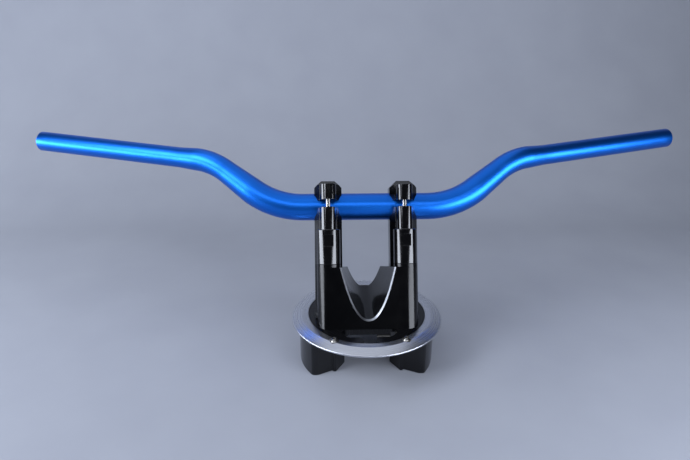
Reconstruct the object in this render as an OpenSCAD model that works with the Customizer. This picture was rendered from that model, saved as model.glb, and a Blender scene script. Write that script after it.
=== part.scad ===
// Handlebar riser kit for a motorbike.
// Two risers with caps clamp a tapered handlebar. They stand on a bridge block that leans back,
// the block stands on a round deck inside a dished trim ring, and the deck sits on two feet.
// X runs to the rider's right in the front view, Y to the rear, Z along the steering axis.
// The origin is the centre of the four fixing holes, in the plane under the feet.

/* [Handlebar] */
// Width of the bar between the centres of its end faces
bar_width = 750; // [700:5:820]
// Diameter of the clamped centre
bar_clamp_d = 28.6; // [27:0.1:30]
// Diameter between the two tapers
bar_mid_d = 24.6; // [23:0.1:26]
// Diameter where the grips and levers go
bar_grip_d = 22.2; // [21:0.1:22.8]
// Wall of the tube
bar_wall = 3.6; // [2:0.1:5]
// Where the centre line first bends up, from the middle
bar_knee_x = 97.5; // [92:0.5:105]
// Where the centre line bends back out, from the middle
bar_elbow_x = 165; // [160:1:180]
// Height of that second bend over the clamped centre
bar_elbow_rise = 52; // [40:1:58]
// How far that second bend lies behind the clamped centre
bar_elbow_sweep = 11; // [4:1:20]
// Height of the tips over the clamped centre
bar_tip_rise = 87; // [75:1:100]
// How far the tips lie behind the clamped centre
bar_tip_sweep = 75; // [40:1:100]
// Radius of the first bend, at the centre line
bar_knee_r = 90; // [70:1:100]
// Radius of the second bend, at the centre line
bar_elbow_r = 75; // [55:1:90]
// Length of the outer taper
bar_taper_l = 20; // [10:1:40]

/* [Risers and caps] */
// Distance between the two risers, centre to centre
post_spacing = 80; // [76:1:86]
// Distance between the front and rear screws of a riser
screw_spacing = 42; // [40:1:46]
// Height of the bar's axis over the ring's rim, along the posts
bar_height = 116; // [108:1:126]
// Diameter of the posts' thick lower columns
column_d = 24.5; // [22:0.5:25]
// Diameter of the screw bosses above them
boss_d = 17; // [16:0.5:19]
// Width of the riser's and cap's body
body_w = 29; // [27:0.5:30]
// Distance from the bar's axis down to the top of the riser
split_below = 2; // [1:0.5:4]
// Distance from the bar's axis up to the underside of the cap
cap_gap_above = 6; // [3:0.5:7]
// Distance from the bar's axis down to the step between boss and column
step_below = 25.5; // [22:0.5:30]
// Height of the screw bosses of the cap over the bar's axis
cap_boss_top = 22.5; // [21:0.5:25]
// Height of the cap's crown over the bar's axis
cap_crown = 27; // [24:0.5:30]
// Width of the flat on the cap's crown
cap_crown_w = 14; // [8:0.5:18]
// How far the left cap has rolled forward on the bar, in degrees
cap_roll_left = 0; // [-2:0.5:2.5]
// How far the right cap has rolled forward on the bar, in degrees
cap_roll_right = 2.5; // [-2:0.5:2.5]

/* [Bridge block] */
// Angle by which block and posts lean back from the steering axis
lean = 25; // [20:0.5:28]
// Height of the block's top over the ring's rim, along the posts
block_top = 51.2; // [46:0.2:56]
// Height of the pads that carry the risers
pad_h = 3; // [1.5:0.5:5]
// Thickness left under the lowest point of the cut-out
web_t = 8.8; // [7:0.2:12]
// Height of the cut-out at the front of the block
cut_h = 48.7; // [40:0.1:56]
// How quickly the sides of the cut-out steepen: 2 is a parabola
cut_power = 2.15; // [1.8:0.05:2.6]
// Width of the bevel along the front edge of the cut-out
cut_bevel = 1.4; // [0.6:0.1:2]

/* [Deck and ring] */
// Radius of the round deck where it centres the ring
deck_r = 61.8; // [60.5:0.1:63]
// Thickness of the deck
deck_t = 12; // [11:0.5:14]
// Width of the flange that carries the ring
flange_w = 6.7; // [6:0.1:7.5]
// Thickness of that flange
flange_t = 6.5; // [5:0.5:8]
// Width of the ring's sloping rim
ring_rim_w = 10.5; // [8:0.5:15]
// Thickness of the ring's metal
ring_t = 2; // [1.2:0.1:2.2]
// Width of the ring's flat inner band
ring_flat_w = 7; // [6.5:0.1:8]
// Drop of the rim below the flat band
ring_drop = 3.5; // [2:0.1:5]
// Distance of the ring's screws from its inner edge
ring_screw_in = 4; // [3.2:0.1:4.2]
// Angle of the ring's screws from the front and rear
ring_screw_deg = 33; // [28:1:38]
// Length of the long recess in the deck
recess_l = 56; // [52:1:60]
// Width of that recess, front to rear
recess_w = 24; // [20:1:26]
// Distance of the recess's centre ahead of the steering axis
recess_y = 38; // [36:0.5:40]
// Width of the notch from the recess to the deck's front
notch_w = 13; // [10:0.5:14]

/* [Feet] */
// Height of the feet under the deck
foot_h = 38; // [30:1:46]
// Outer radius of the feet
foot_r = 71.5; // [70:0.5:74]
// Radius of the round space between the feet
foot_bore_r = 30.6; // [29:0.1:31]
// How far the ends of the feet lie ahead of and behind the middle
foot_end_y = 41.8; // [40:0.2:44]
// Thickness of the outer wall at the ends
foot_wall = 5.5; // [4:0.5:8]
// Spacing of the fixing holes from left to right
fix_spacing_x = 104; // [100:1:108]
// Spacing of the fixing holes from front to rear
fix_spacing_y = 44; // [38:1:48]
// Depth of the fixing holes
fix_depth = 15; // [10:1:18]

/* [Hidden] */
$fn = 96;

LEFT = -1;
RIGHT = 1;
FRONT = -1;
REAR = 1;

// Clearances between mating pieces
clamp_gap = 0.02;
thread_gap = 0.05;
spigot_gap = 0.2;
washer_gap = 0.2;
thread_extra = 4;
over = 1;
lap = 0.5;
lap_step = 0.06;

// Metric screws: [diameter, head diameter, head height, socket across flats, socket depth]
M8 = [8, 13, 8, 6, 4];
M6 = [6, 10, 6, 5, 3];
M5_BUTTON = [5, 9.5, 2.75, 3, 1.8];
cap_screw_l = 30;
cap_hole_d = 7.6;
cap_bore_d = 12.4;
cap_bore_depth = 6.5;
riser_bolt_l = 45;
bolt_hole_d = 8.8;
washer_d = 16;
washer_t = 1.6;
bolt_bore_d = 16.6;
bolt_engage = 20;
foot_screw_l = 25;
foot_bore_d = 13.6;
foot_bore_depth = 8.6;
block_screw_l = 25;
csk_d = 16;
csk_edge = 0.4;
ring_screw_l = 8;
ring_hole_d = 5.5;
edge = 0.5;

// Heights along Z
ring_proud = 0.5;
deck_under = foot_h;
deck_top = deck_under + deck_t;
ring_band_z = deck_top + ring_proud;
flange_top = ring_band_z - ring_t;
rim_z = ring_band_z - ring_drop;
flange_under = flange_top - flange_t;

// Radii about the steering axis
flange_r = deck_r + flange_w;
ring_inner_r = deck_r + spigot_gap;
ring_band_r = ring_inner_r + ring_flat_w;
ring_r = ring_band_r + ring_rim_w;
ring_screw_r = ring_inner_r + ring_screw_in;

// Heights along the posts, from the rim's plane
seam_h = block_top + pad_h;
split_h = bar_height - split_below;
step_h = bar_height - step_below;
bolt_seat = seam_h + bolt_engage - riser_bolt_l;

post_x = post_spacing / 2;
screw_y = screw_spacing / 2;
column_r = column_d / 2;
boss_r = boss_d / 2;
front_y = screw_y + column_r;
bar_r = bar_clamp_d / 2;

// Plan of the riser's body: full width in the middle, narrower where it meets the bosses
body_half_w = body_w / 2;
body_flat_half = 8.5;
body_shoulder = 0.5;
body_end_half_w = boss_r + body_shoulder;
body_setback = 4.5;
body_half_depth = screw_y - body_setback;

// Flat milled on the front of each riser
flat_w = 10.5;
flat_h = 12;
flat_cut = 1;
flat_below_step = 5.5;

// Cut-out of the block
cut_floor_z = deck_top + web_t;
cut_edge_in = 0.25;
cut_half_w = post_x - column_r - cut_edge_in;
cut_steps = 16;

// Screws that come up through the deck into the block
block_screw_x = 17;
block_screw_ys = [-6, 24];

// Screws that go down through the deck into the feet
foot_screw_x = 47;
foot_screw_y = 11;

// Stop screw across the right half of the recess, with a lock nut and a washer at the wall
stop_d = 6;
stop_l = 30;
stop_tip_x = 8;
stop_ahead = 2;
stop_nut_af = 10;
stop_nut_t = 5;
stop_washer_d = 12;
stop_washer_t = 1.6;
stop_face_extra = 1;
stop_y = -recess_y - stop_ahead;
stop_z = deck_under + deck_t / 2;
stop_wall_x = recess_l / 2;
stop_end_x = stop_tip_x + stop_l;

// Plan of a foot, from the middle outwards
foot_nose_x = 24;
rib_in_x = 33.5;
rib_out_x = 36.5;
rib_proud = 1.6;
slant_in_x = 38;
slant_rise = 7.6;
foot_bevel = 1.9;

// Corners of the bar's centre line, on the right half
bar_knee = [bar_knee_x, 0, 0];
bar_elbow = [bar_elbow_x, bar_elbow_sweep, bar_elbow_rise];
bar_tip = [bar_width / 2, bar_tip_sweep, bar_tip_rise];

function unit(v) = v / norm(v);
function bend_deg(u, v) = acos(u * v);
function bend_reach(u, v, r) = r * tan(bend_deg(u, v) / 2);

// The frame of the leaning block and posts
module leaning() {
    translate([0, 0, rim_z]) rotate([-lean, 0, 0]) children();
}

// The bar's axis in that frame
module at_bar() {
    leaning() translate([0, 0, bar_height]) children();
}

module orient(v) {
    rotate([0, acos(v.z / norm(v)), atan2(v.y, v.x)]) children();
}

module rod(p, q, r1, r2) {
    translate(p) orient(q - p) cylinder(h = norm(q - p), r1 = r1, r2 = r2);
}

// A round bar bent at corner p, from direction u to direction v. Its ends reach a little way
// into the straight lengths, which are thicker by lap_step, so that the pieces join cleanly.
module bend(p, u, v, bend_r, r) {
    a = bend_deg(u, v);
    lap_deg = lap / bend_r * 180 / PI;
    centre = p + unit(v - u) * bend_r / cos(a / 2);
    ex = unit(p - u * bend_reach(u, v, bend_r) - centre);
    ez = unit(cross(u, v));
    ey = cross(ez, ex);
    multmatrix([
        [ex.x, ey.x, ez.x, centre.x],
        [ex.y, ey.y, ez.y, centre.y],
        [ex.z, ey.z, ez.z, centre.z],
        [0, 0, 0, 1]
    ]) rotate([0, 0, -lap_deg]) rotate_extrude(angle = a + 2 * lap_deg)
        translate([bend_r, 0]) circle(r - lap_step);
}

// The bar as a solid, thinner by inset all round and longer by extra at the tips
module bar_solid(inset, extra) {
    u0 = [1, 0, 0];
    u1 = unit(bar_elbow - bar_knee);
    u2 = unit(bar_tip - bar_elbow);
    r_clamp = bar_r - inset;
    r_mid = bar_mid_d / 2 - inset;
    r_grip = bar_grip_d / 2 - inset;
    knee_reach = bend_reach(u0, u1, bar_knee_r);
    elbow_reach = bend_reach(u1, u2, bar_elbow_r);
    elbow_end = bar_elbow + u2 * elbow_reach;
    taper_end = elbow_end + u2 * bar_taper_l;
    straight_x = bar_knee_x - knee_reach;
    rod([-straight_x, 0, 0], [straight_x, 0, 0], r_clamp, r_clamp);
    for (side = [0, 1]) mirror([side, 0, 0]) {
        bend(bar_knee, u0, u1, bar_knee_r, r_clamp);
        rod(bar_knee + u1 * knee_reach, bar_elbow - u1 * elbow_reach, r_clamp, r_mid);
        bend(bar_elbow, u1, u2, bar_elbow_r, r_mid);
        rod(elbow_end, taper_end, r_mid, r_grip + lap_step);
        rod(taper_end - u2 * lap, bar_tip + u2 * extra, r_grip, r_grip);
    }
}

module handlebar() {
    color("royalblue") at_bar() difference() {
        bar_solid(0, 0);
        bar_solid(bar_wall, over);
    }
}

// Socket-head screw: its head sits on Z = 0 and its shank points down
module socket_screw(size, length) {
    r = size[0] / 2;
    head_r = size[1] / 2;
    head_h = size[2];
    difference() {
        rotate_extrude() polygon([
            [0, -length], [r - edge, -length], [r, edge - length], [r, 0],
            [head_r, 0], [head_r, head_h - edge], [head_r - edge, head_h], [0, head_h]
        ]);
        translate([0, 0, head_h - size[4]])
            cylinder(d = size[3] / cos(30), h = size[4] + over, $fn = 6);
    }
}

// Button-head screw: its domed head sits on Z = 0 and its shank points down
module button_screw(size, length) {
    head_r = size[1] / 2;
    head_h = size[2];
    dome_r = (head_r * head_r + head_h * head_h) / (2 * head_h);
    difference() {
        union() {
            translate([0, 0, -length]) cylinder(d = size[0], h = length + head_h / 2);
            intersection() {
                translate([0, 0, head_h - dome_r]) sphere(r = dome_r);
                cylinder(r = head_r, h = head_h);
            }
        }
        translate([0, 0, head_h - size[4]])
            cylinder(d = size[3] / cos(30), h = size[4] + over, $fn = 6);
    }
}

// Countersunk screw: the flat of its head lies on Z = 0 and its shank points up
module countersunk_screw(size, length) {
    r = size[0] / 2;
    cone_h = csk_d / 2 - r;
    difference() {
        rotate_extrude() polygon([
            [0, 0], [csk_d / 2, 0], [csk_d / 2, csk_edge], [r, csk_edge + cone_h],
            [r, length - edge], [r - edge, length], [0, length]
        ]);
        translate([0, 0, -over]) cylinder(d = size[3] / cos(30), h = size[4] + over, $fn = 6);
    }
}

// Plan of a riser's body
module body_plan() {
    polygon([
        [body_half_w, -body_flat_half], [body_half_w, body_flat_half],
        [body_end_half_w, body_half_depth], [-body_end_half_w, body_half_depth],
        [-body_half_w, body_flat_half], [-body_half_w, -body_flat_half],
        [-body_end_half_w, -body_half_depth], [body_end_half_w, -body_half_depth]
    ]);
}

// Plan of a whole post: its body and the two columns
module post_plan() {
    body_plan();
    for (end = [FRONT, REAR]) translate([0, end * screw_y]) circle(column_r);
}

module riser(side) {
    leaning() translate([side * post_x, 0, 0]) difference() {
        union() {
            translate([0, 0, seam_h]) linear_extrude(split_h - seam_h) body_plan();
            for (end = [FRONT, REAR]) translate([0, end * screw_y, 0]) {
                translate([0, 0, seam_h]) cylinder(r1 = column_r - edge, r2 = column_r, h = edge);
                translate([0, 0, seam_h + edge]) cylinder(r = column_r, h = step_h - seam_h - 2 * edge);
                translate([0, 0, step_h - edge]) cylinder(r1 = column_r, r2 = column_r - edge, h = edge);
                translate([0, 0, step_h - over]) cylinder(r = boss_r, h = split_h - step_h + over);
            }
        }
        translate([-body_w, 0, bar_height]) rotate([0, 90, 0])
            cylinder(r = bar_r + clamp_gap, h = 2 * body_w);
        for (end = [FRONT, REAR]) translate([0, end * screw_y, 0]) {
            translate([0, 0, bar_height + cap_seat() - cap_screw_l - thread_extra])
                cylinder(d = M6[0] + 2 * thread_gap, h = cap_screw_l + thread_extra);
            translate([0, 0, seam_h - over])
                cylinder(d = M8[0] + 2 * thread_gap, h = over + bolt_engage + thread_extra);
        }
        translate([-flat_w / 2, -front_y - over, step_h - flat_below_step - flat_h])
            cube([flat_w, over + flat_cut, flat_h]);
    }
}

module riser_left() color([0.07, 0.07, 0.08]) riser(LEFT);
module riser_right() color([0.07, 0.07, 0.08]) riser(RIGHT);

// Height over the bar's axis of the floor that a cap screw's head sits on
function cap_seat() = cap_boss_top - cap_bore_depth;
function cap_roll(side) = side == LEFT ? cap_roll_left : cap_roll_right;

// Chamfered block of the cap: the same eight-sided outline from the front and from the side
module cap_body() {
    shoulder = cap_crown - (body_half_w - cap_crown_w / 2);
    slope_reach = cap_crown_w / 2 + cap_crown - cap_boss_top;
    intersection() {
        translate([0, 0, cap_gap_above]) linear_extrude(cap_crown) body_plan();
        translate([0, body_w, 0]) rotate([90, 0, 0]) linear_extrude(2 * body_w) polygon([
            [-body_half_w, 0], [body_half_w, 0], [body_half_w, shoulder], [cap_crown_w / 2, cap_crown],
            [-cap_crown_w / 2, cap_crown], [-body_half_w, shoulder]
        ]);
        translate([-body_w, 0, 0]) rotate([90, 0, 90]) linear_extrude(2 * body_w) polygon([
            [-body_w, 0], [body_w, 0], [body_w, cap_boss_top], [slope_reach, cap_boss_top],
            [cap_crown_w / 2, cap_crown], [-cap_crown_w / 2, cap_crown],
            [-slope_reach, cap_boss_top], [-body_w, cap_boss_top]
        ]);
    }
}

module cap(side) {
    at_bar() translate([side * post_x, 0, 0]) rotate([cap_roll(side), 0, 0]) difference() {
        union() {
            cap_body();
            for (end = [FRONT, REAR]) translate([0, end * screw_y, 0]) {
                translate([0, 0, cap_gap_above])
                    cylinder(r = boss_r, h = cap_boss_top - cap_gap_above - edge);
                translate([0, 0, cap_boss_top - edge])
                    cylinder(r1 = boss_r, r2 = boss_r - edge, h = edge);
            }
        }
        translate([-body_w, 0, 0]) rotate([0, 90, 0]) cylinder(r = bar_r + clamp_gap, h = 2 * body_w);
        for (end = [FRONT, REAR]) translate([0, end * screw_y, 0]) {
            cylinder(d = cap_hole_d, h = cap_crown);
            translate([0, 0, cap_seat()]) cylinder(d = cap_bore_d, h = cap_crown);
        }
    }
}

module cap_left() color([0.07, 0.07, 0.08]) cap(LEFT);
module cap_right() color([0.07, 0.07, 0.08]) cap(RIGHT);

// The screw stays in line with its thread while the cap's floor tilts under its head
module cap_screw(side, end) {
    roll = cap_roll(side);
    seat = cap_seat() / cos(roll) + end * screw_y * tan(roll) + abs(tan(roll)) * M6[1] / 2;
    color("silver") at_bar() translate([side * post_x, end * screw_y, seat])
        socket_screw(M6, cap_screw_l);
}

module cap_screw_left_front() cap_screw(LEFT, FRONT);
module cap_screw_left_rear() cap_screw(LEFT, REAR);
module cap_screw_right_front() cap_screw(RIGHT, FRONT);
module cap_screw_right_rear() cap_screw(RIGHT, REAR);

// Height of the cut-out over its lowest point, at distance x from the middle
function cut_rise(x) = cut_h * pow(abs(x) / cut_half_w, cut_power);
function cut_slope(x) =
    sign(x) * cut_h * cut_power / cut_half_w * pow(abs(x) / cut_half_w, cut_power - 1);

// Outline of the cut-out, carried on upwards past the top of the block
module cut_outline() {
    reach = 1.08 * cut_half_w;
    curve = [for (i = [-cut_steps:cut_steps]) let (x = reach * i / cut_steps) [x, cut_rise(x)]];
    polygon(concat([[-reach, 2 * cut_h]], curve, [[reach, 2 * cut_h]]));
}

// Point of the block's leaning front face that lies at x and at height z over the rim's plane
function on_front(x, z) = [x, (z * sin(lean) - front_y) / cos(lean), z];

// Bevel along the front edge of the cut-out: a three-sided sliver that follows its curve
module cut_bevel_sliver() {
    grow = 1.7;
    reach = 1.06 * cut_half_w;
    floor_h = cut_floor_z - rim_z;
    stations = [for (i = [-cut_steps:cut_steps])
        let (
            x = reach * i / cut_steps,
            out = unit([cut_slope(x), -1]) * cut_bevel,
            z = floor_h + cut_rise(x),
            a = on_front(x, z),
            b = on_front(x + out.x, z + out.y),
            c = a + [0, cut_bevel, 0],
            mid = (b + c) / 2
        ) [for (p = [a, b, c]) mid + (p - mid) * grow]
    ];
    last = len(stations) - 1;
    polyhedron(
        points = [for (s = stations) each s],
        faces = concat(
            [[0, 1, 2], [3 * last + 2, 3 * last + 1, 3 * last]],
            [for (i = [0:last - 1], k = [0:2]) let (m = (k + 1) % 3)
                [3 * i + k, 3 * i + 3 + k, 3 * i + 3 + m, 3 * i + m]]
        )
    );
}

// Plan of the block: its corners are as round as the columns they carry
module block_plan() {
    square([2 * post_x, 2 * front_y], center = true);
    square([2 * (post_x + column_r), screw_spacing], center = true);
    for (side = [LEFT, RIGHT]) translate([side * post_x, 0]) post_plan();
}

module bridge_block() {
    color([0.06, 0.06, 0.07]) difference() {
        leaning() {
            translate([0, 0, -column_d]) linear_extrude(block_top + column_d) block_plan();
            for (side = [LEFT, RIGHT]) translate([side * post_x, 0, block_top - over])
                linear_extrude(pad_h + over) post_plan();
        }
        translate([-ring_r, -ring_r, 0]) cube([2 * ring_r, 2 * ring_r, deck_top]);
        translate([0, ring_r, cut_floor_z]) rotate([90, 0, 0]) linear_extrude(2 * ring_r) cut_outline();
        translate([0, 0, rim_z]) cut_bevel_sliver();
        leaning() for (side = [LEFT, RIGHT], end = [FRONT, REAR])
            translate([side * post_x, end * screw_y, 0]) {
                translate([0, 0, -column_d]) cylinder(d = bolt_bore_d, h = bolt_seat + washer_t + column_d);
                cylinder(d = bolt_hole_d, h = seam_h + over);
            }
        for (side = [LEFT, RIGHT], y = block_screw_ys)
            translate([side * block_screw_x, y, deck_under])
                cylinder(d = M8[0] + 2 * thread_gap, h = block_screw_l + thread_extra / 2);
    }
}

// The bolts come up from under the block, with their heads and washers in deep bores
module riser_bolt(side, end) {
    color("dimgray") leaning() translate([side * post_x, end * screw_y, bolt_seat])
        rotate([180, 0, 0]) socket_screw(M8, riser_bolt_l);
}

module riser_bolt_left_front() riser_bolt(LEFT, FRONT);
module riser_bolt_left_rear() riser_bolt(LEFT, REAR);
module riser_bolt_right_front() riser_bolt(RIGHT, FRONT);
module riser_bolt_right_rear() riser_bolt(RIGHT, REAR);

module washer(d, hole_d, t) {
    difference() {
        cylinder(d = d, h = t);
        translate([0, 0, -over]) cylinder(d = hole_d, h = t + 2 * over);
    }
}

module riser_washers() {
    color("silver") leaning() for (side = [LEFT, RIGHT], end = [FRONT, REAR])
        translate([side * post_x, end * screw_y, bolt_seat])
            washer(washer_d, M8[0] + 2 * washer_gap, washer_t);
}

module deck_plate() {
    end_r = recess_w / 2;
    color([0.12, 0.12, 0.13]) difference() {
        union() {
            translate([0, 0, deck_under]) cylinder(r = deck_r, h = deck_t);
            translate([0, 0, flange_under]) cylinder(r = flange_r, h = flange_t);
        }
        translate([0, -recess_y, deck_under - over]) {
            for (side = [LEFT, RIGHT]) translate([side * (recess_l / 2 - end_r), 0, 0])
                cylinder(r = end_r, h = deck_t + 2 * over);
            translate([end_r - recess_l / 2, -end_r, 0])
                cube([recess_l - recess_w, recess_w, deck_t + 2 * over]);
        }
        translate([-notch_w / 2, -flange_r - over, deck_under - over])
            cube([notch_w, flange_r + over - recess_y, deck_t + 2 * over]);
        for (side = [LEFT, RIGHT], y = [-foot_screw_y, foot_screw_y])
            translate([side * foot_screw_x, y, deck_under - over]) {
                cylinder(d = bolt_hole_d, h = deck_t + 2 * over);
                translate([0, 0, over + deck_t - foot_bore_depth])
                    cylinder(d = foot_bore_d, h = foot_bore_depth + over);
            }
        for (side = [LEFT, RIGHT], y = block_screw_ys)
            translate([side * block_screw_x, y, deck_under]) {
                translate([0, 0, -over]) cylinder(d = bolt_hole_d, h = deck_t + 2 * over);
                translate([0, 0, -over]) cylinder(d = csk_d + spigot_gap, h = over + csk_edge);
                translate([0, 0, csk_edge])
                    cylinder(d1 = csk_d, d2 = bolt_hole_d, h = (csk_d - bolt_hole_d) / 2);
            }
        for (side = [LEFT, RIGHT], end = [FRONT, REAR])
            at_ring_screw(side, end) translate([0, 0, -flange_t - ring_t - over])
                cylinder(d = M5_BUTTON[0] + 2 * thread_gap, h = flange_t + 2 * over);
        translate([stop_wall_x, stop_y, stop_z]) rotate([0, 90, 0]) {
            translate([0, 0, -over]) cylinder(
                d = stop_d + 2 * thread_gap, h = stop_end_x - stop_wall_x + thread_extra + over);
            translate([0, 0, -recess_w / 4])
                cylinder(d = stop_washer_d + stop_face_extra, h = recess_w / 4);
        }
    }
}

// The heads lie flush under the deck and the threads are in the block
module block_screws() {
    color("dimgray") for (side = [LEFT, RIGHT], y = block_screw_ys)
        translate([side * block_screw_x, y, deck_under]) countersunk_screw(M8, block_screw_l);
}

// Plan of the right foot, without its round outer and inner faces
module foot_plan() {
    corner_x = sqrt(foot_r * foot_r - foot_end_y * foot_end_y);
    slant_y = foot_end_y - slant_rise;
    half = [
        [foot_nose_x, sqrt(foot_bore_r * foot_bore_r - foot_nose_x * foot_nose_x)],
        [rib_in_x, slant_y + rib_proud], [rib_out_x, slant_y + rib_proud],
        [rib_out_x, slant_y], [slant_in_x, slant_y], [corner_x - foot_wall, foot_end_y],
        [corner_x - foot_bevel / 2, foot_end_y], [corner_x + foot_bevel, foot_end_y - foot_bevel],
        [2 * foot_r, foot_end_y - foot_bevel]
    ];
    count = len(half);
    polygon(concat(half, [for (i = [count - 1:-1:0]) [half[i].x, -half[i].y]]));
}

module foot(side) {
    wall_top = flange_under;
    mirror([side == LEFT ? 1 : 0, 0, 0]) difference() {
        intersection() {
            cylinder(r = foot_r, h = wall_top);
            linear_extrude(wall_top) foot_plan();
        }
        translate([0, 0, -over]) cylinder(r = foot_bore_r, h = wall_top + 2 * over);
        translate([0, 0, foot_h]) cylinder(r = ring_inner_r, h = wall_top);
        for (y = [-foot_screw_y, foot_screw_y])
            translate([foot_screw_x, y, deck_top - foot_bore_depth - foot_screw_l - thread_extra])
                cylinder(d = M8[0] + 2 * thread_gap, h = foot_screw_l + thread_extra);
        for (y = [-fix_spacing_y / 2, fix_spacing_y / 2])
            translate([fix_spacing_x / 2, y, -over]) cylinder(d = M8[0], h = fix_depth + over);
    }
}

module foot_left() color([0.09, 0.09, 0.10]) foot(LEFT);
module foot_right() color([0.09, 0.09, 0.10]) foot(RIGHT);

module foot_screws(side) {
    color("dimgray") for (y = [-foot_screw_y, foot_screw_y])
        translate([side * foot_screw_x, y, deck_top - foot_bore_depth])
            socket_screw(M8, foot_screw_l);
}

module foot_screws_left() foot_screws(LEFT);
module foot_screws_right() foot_screws(RIGHT);

// Where a ring screw's head sits on the flat band
module at_ring_screw(side, end) {
    rotate([0, 0, side * (end == FRONT ? ring_screw_deg : -ring_screw_deg)])
        translate([0, end * ring_screw_r, ring_band_z]) children();
}

// Dished ring of sheet metal: a flat band that carries the screws and a cone down to the rim
module trim_ring() {
    rim_round = ring_t / 4;
    color("gainsboro") difference() {
        rotate_extrude($fn = 180) polygon([
            [ring_inner_r, flange_top], [ring_band_r, flange_top],
            [ring_r - rim_round, rim_z - ring_t], [ring_r, rim_z - ring_t + rim_round],
            [ring_r, rim_z - rim_round], [ring_r - rim_round, rim_z],
            [ring_band_r, ring_band_z], [ring_inner_r, ring_band_z]
        ]);
        for (side = [LEFT, RIGHT], end = [FRONT, REAR])
            at_ring_screw(side, end) translate([0, 0, -ring_t - over])
                cylinder(d = ring_hole_d, h = ring_t + 2 * over);
    }
}

module ring_screw(side, end) {
    color("silver") at_ring_screw(side, end) button_screw(M5_BUTTON, ring_screw_l);
}

module ring_screw_front_left() ring_screw(LEFT, FRONT);
module ring_screw_front_right() ring_screw(RIGHT, FRONT);
module ring_screw_rear_left() ring_screw(LEFT, REAR);
module ring_screw_rear_right() ring_screw(RIGHT, REAR);

module stop_screw() {
    color("silver") translate([stop_tip_x, stop_y, stop_z]) rotate([0, 90, 0]) rotate_extrude()
        polygon([
            [0, 0], [stop_d / 2 - edge, 0], [stop_d / 2, edge],
            [stop_d / 2, stop_l - edge], [stop_d / 2 - edge, stop_l], [0, stop_l]
        ]);
}

module stop_nut() {
    corner_d = stop_nut_af / cos(30);
    color("dimgray") translate([stop_wall_x - stop_washer_t - stop_nut_t, stop_y, stop_z])
        rotate([0, 90, 0]) difference() {
            cylinder(d = corner_d, h = stop_nut_t, $fn = 6);
            translate([0, 0, -over]) cylinder(d = stop_d + 2 * thread_gap, h = stop_nut_t + 2 * over);
        }
}

module stop_washer() {
    color("silver") translate([stop_wall_x - stop_washer_t, stop_y, stop_z]) rotate([0, 90, 0])
        washer(stop_washer_d, stop_d + 2 * washer_gap, stop_washer_t);
}

handlebar();
riser_left();
riser_right();
cap_left();
cap_right();
cap_screw_left_front();
cap_screw_left_rear();
cap_screw_right_front();
cap_screw_right_rear();
bridge_block();
riser_bolt_left_front();
riser_bolt_left_rear();
riser_bolt_right_front();
riser_bolt_right_rear();
riser_washers();
deck_plate();
block_screws();
foot_left();
foot_right();
foot_screws_left();
foot_screws_right();
trim_ring();
ring_screw_front_left();
ring_screw_front_right();
ring_screw_rear_left();
ring_screw_rear_right();
stop_screw();
stop_nut();
stop_washer();
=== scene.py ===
"""Studio scene of a handlebar riser kit: a blue bar in black risers on a bridge block and deck.

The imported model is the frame. Each sub-assembly below is a class that holds its own sizes in
millimetres, builds its meshes in metres in the same frame, and dresses them with a finish.
"""

import logging
import math
from dataclasses import astuple, dataclass
from enum import Enum
from typing import Any, Callable, Sequence

import bmesh
import bpy
from mathutils import Matrix, Vector

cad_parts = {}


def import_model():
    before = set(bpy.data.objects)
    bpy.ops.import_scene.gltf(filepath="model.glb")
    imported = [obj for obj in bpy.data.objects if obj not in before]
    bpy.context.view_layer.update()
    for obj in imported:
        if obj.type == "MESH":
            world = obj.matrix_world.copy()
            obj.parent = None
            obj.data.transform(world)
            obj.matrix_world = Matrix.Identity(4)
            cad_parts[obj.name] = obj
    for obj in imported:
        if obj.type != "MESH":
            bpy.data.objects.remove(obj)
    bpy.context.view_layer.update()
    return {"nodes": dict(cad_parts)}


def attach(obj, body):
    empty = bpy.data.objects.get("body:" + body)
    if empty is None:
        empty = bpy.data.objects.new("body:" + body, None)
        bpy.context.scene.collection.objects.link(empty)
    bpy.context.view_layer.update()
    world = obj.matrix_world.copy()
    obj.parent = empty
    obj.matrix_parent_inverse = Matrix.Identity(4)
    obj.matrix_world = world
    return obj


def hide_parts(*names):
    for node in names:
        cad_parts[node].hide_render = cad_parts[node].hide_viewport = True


LOG = logging.getLogger("riser_kit")
MM = 0.001
ROOT = "root"
LEAN = math.radians(25.0)
RIM_Z = 47.0
BAR_HEIGHT = 116.0
POST_X = 40.0
SCREW_Y = 21.0
SMOOTH_ANGLE = math.radians(32.0)
# The CAD meshes turn by up to 9 degrees within a curve and by 21 or more at an edge.
CREASE = math.radians(15.0)
FLAT_ANGLE = math.radians(0.6)
SAME_PLACE = 0.000002

Rgba = tuple[float, float, float, float]
Point = tuple[float, float, float]


class Side(Enum):
    LEFT = -1
    RIGHT = 1


class Slot(Enum):
    """The record's material slots."""

    BAR = "bar_blue"
    BLACK = "black_anodised"
    DECK = "deck_anodised"
    FOOT = "foot_anodised"
    RING = "bare_aluminium"
    STAINLESS = "stainless"
    BLACK_STEEL = "black_steel"


# ---------------------------------------------------------------- helpers


def linear(colour: str) -> Rgba:
    """Turns an sRGB hex colour into linear values.

    Args:
        colour: six hex digits after a hash.

    Returns:
        Red, green, blue and alpha, linear.
    """
    parts = [int(colour[i : i + 2], 16) / 255 for i in (1, 3, 5)]
    r, g, b = (c / 12.92 if c <= 0.04045 else ((c + 0.055) / 1.055) ** 2.4 for c in parts)
    return (r, g, b, 1.0)


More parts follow.
